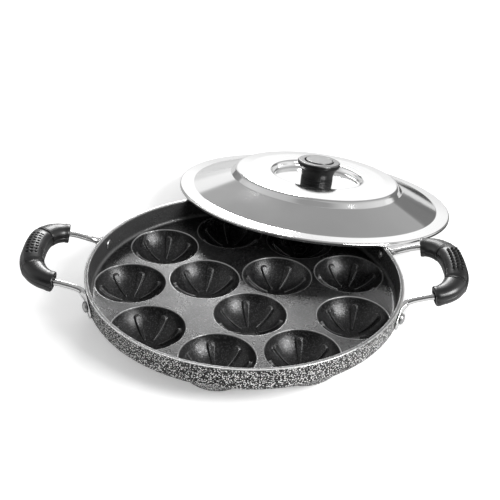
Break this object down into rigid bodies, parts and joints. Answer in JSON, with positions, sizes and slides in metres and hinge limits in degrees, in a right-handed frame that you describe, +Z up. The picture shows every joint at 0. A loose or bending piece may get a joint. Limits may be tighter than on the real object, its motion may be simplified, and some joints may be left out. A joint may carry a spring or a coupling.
{
  "type": "paniyaram pan",
  "caption": "Round non-stick pan with ribbed half-round cavities for batter balls, two riveted bow handles with moulded grips, and a domed steel lid with a knob.",
  "frame": {"origin": "bottom centre of the box of the pan and its leaning lid, on the table", "axes": "+Z up; +X along the line through the two handles, to the right in the picture; +Y away from the viewer, towards the side that the lid leans to"},
  "size_m": [0.3356, 0.3746, 0.0562],
  "materials": {
    "pan": "black non-stick coating inside, speckled grey hammertone outside",
    "rod": "bright plated wire",
    "grip": "moulded phenolic resin, satin",
    "rivet": "bare metal",
    "screw": "plated",
    "lid": "mirror polished stainless sheet",
    "knob": "moulded phenolic resin, polished",
    "knob_cap": "moulded phenolic resin, satin",
    "washer": "plated",
    "insert": "turned"
  },
  "bodies": {
    "pan": {"pan_body": "pan", "handle_rod_right": "rod", "grip_upper_right": "grip", "grip_lower_right": "grip", "rivet_right_back": "rivet", "grip_screw_right_back": "screw", "rivet_right_front": "rivet", "grip_screw_right_front": "screw", "handle_rod_left": "rod", "grip_upper_left": "grip", "grip_lower_left": "grip", "rivet_left_back": "rivet", "grip_screw_left_back": "screw", "rivet_left_front": "rivet", "grip_screw_left_front": "screw"},
    "lid": {"lid_shell": "lid", "lid_knob": "knob", "knob_cap": "knob_cap", "knob_seat_washer": "washer", "knob_insert": "insert", "knob_screw": "screw", "knob_screw_washer": "washer"}
  },
  "joints": [
    {"name": "lid_lift", "type": "slide", "parent": "pan", "child": "lid", "axis": [0, 0, 1], "range_m": [0, 0.12]}
  ]
}
